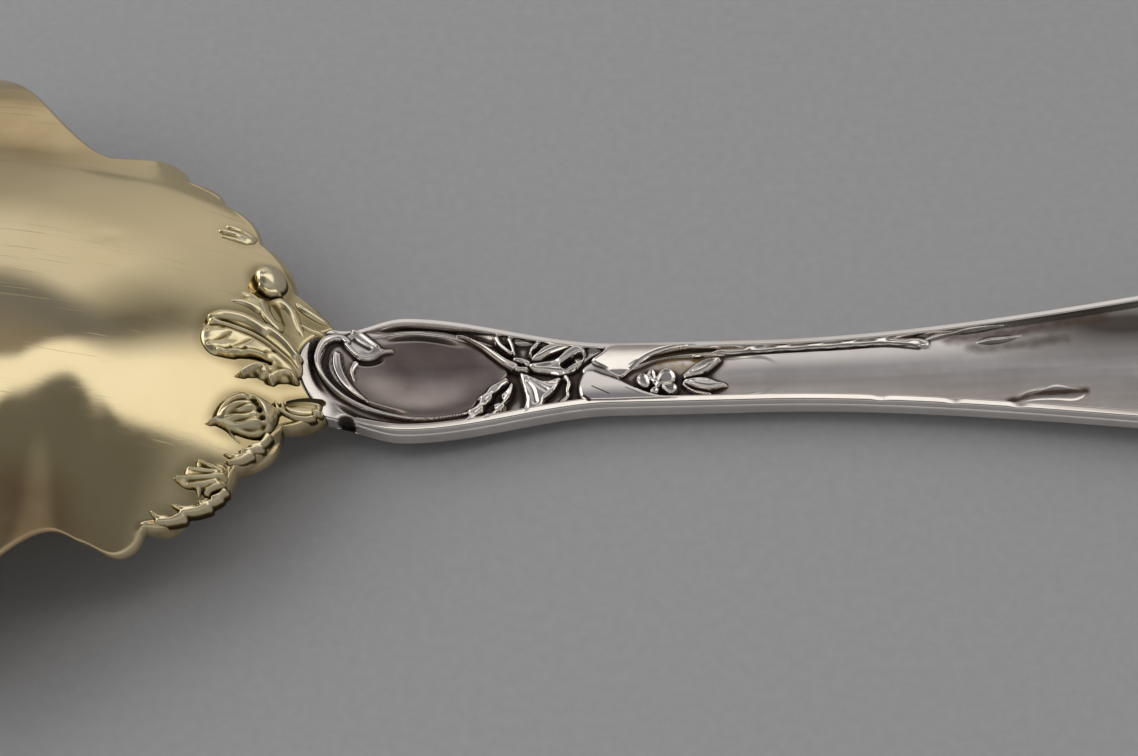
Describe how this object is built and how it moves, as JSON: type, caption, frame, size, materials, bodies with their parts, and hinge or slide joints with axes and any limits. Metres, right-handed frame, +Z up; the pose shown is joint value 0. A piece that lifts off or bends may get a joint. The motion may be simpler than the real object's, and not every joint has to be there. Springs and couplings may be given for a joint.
{
  "type": "casserole spoon",
  "caption": "Large serving spoon lying face down, with a broad gilt bowl, scalloped shoulders and a silver handle with leaf, bud, scroll and ribbon relief.",
  "frame": {"origin": "on the table under the middle of the spoon's bounding box", "axes": "+X along the spoon towards the tip of the handle, +Y across it, +Z up, with the spoon lying face down"},
  "size_m": [0.23, 0.074, 0.023],
  "materials": {
    "gilt_bowl": "pale gilding, finely brushed, with scratches and brown tarnish at the rim",
    "gilt_relief": "pale gilding, polished on the high parts and brown in the hollows",
    "silver_handle": "satin silver with dark patina in the sunk fields",
    "silver_bright": "polished silver, darkened in the grooves"
  },
  "bodies": {
    "root": {"bowl": "gilt_bowl", "heel_leaf": "gilt_relief", "near_bud": "gilt_relief", "near_bud_stem": "gilt_relief", "near_sepal": "gilt_relief", "far_bud": "gilt_relief", "far_bud_stem": "gilt_relief", "far_leaflet": "gilt_relief", "side_leaflet": "gilt_relief", "shoulder_leaf": "gilt_relief", "near_rim_leaf": "gilt_relief", "near_rim_sprig": "gilt_relief", "far_rim_sprig": "gilt_relief", "handle": "silver_handle", "near_rail": "silver_bright", "far_rail": "silver_bright", "c_scroll": "silver_bright", "s_scroll": "silver_bright", "inner_wire": "silver_bright", "upper_wire": "silver_bright", "ribbon_strap": "silver_bright", "ribbon_knot": "silver_bright", "first_tail": "silver_bright", "second_tail": "silver_bright", "fan_fold": "silver_bright", "upper_loop": "silver_bright", "lower_loop": "silver_bright", "far_band": "silver_bright", "near_band": "silver_bright", "flower": "silver_bright", "far_leaf": "silver_bright", "near_leaf": "silver_bright", "vine": "silver_bright", "far_border_leaf": "silver_bright", "near_border_leaf": "silver_bright"}
  },
  "joints": []
}
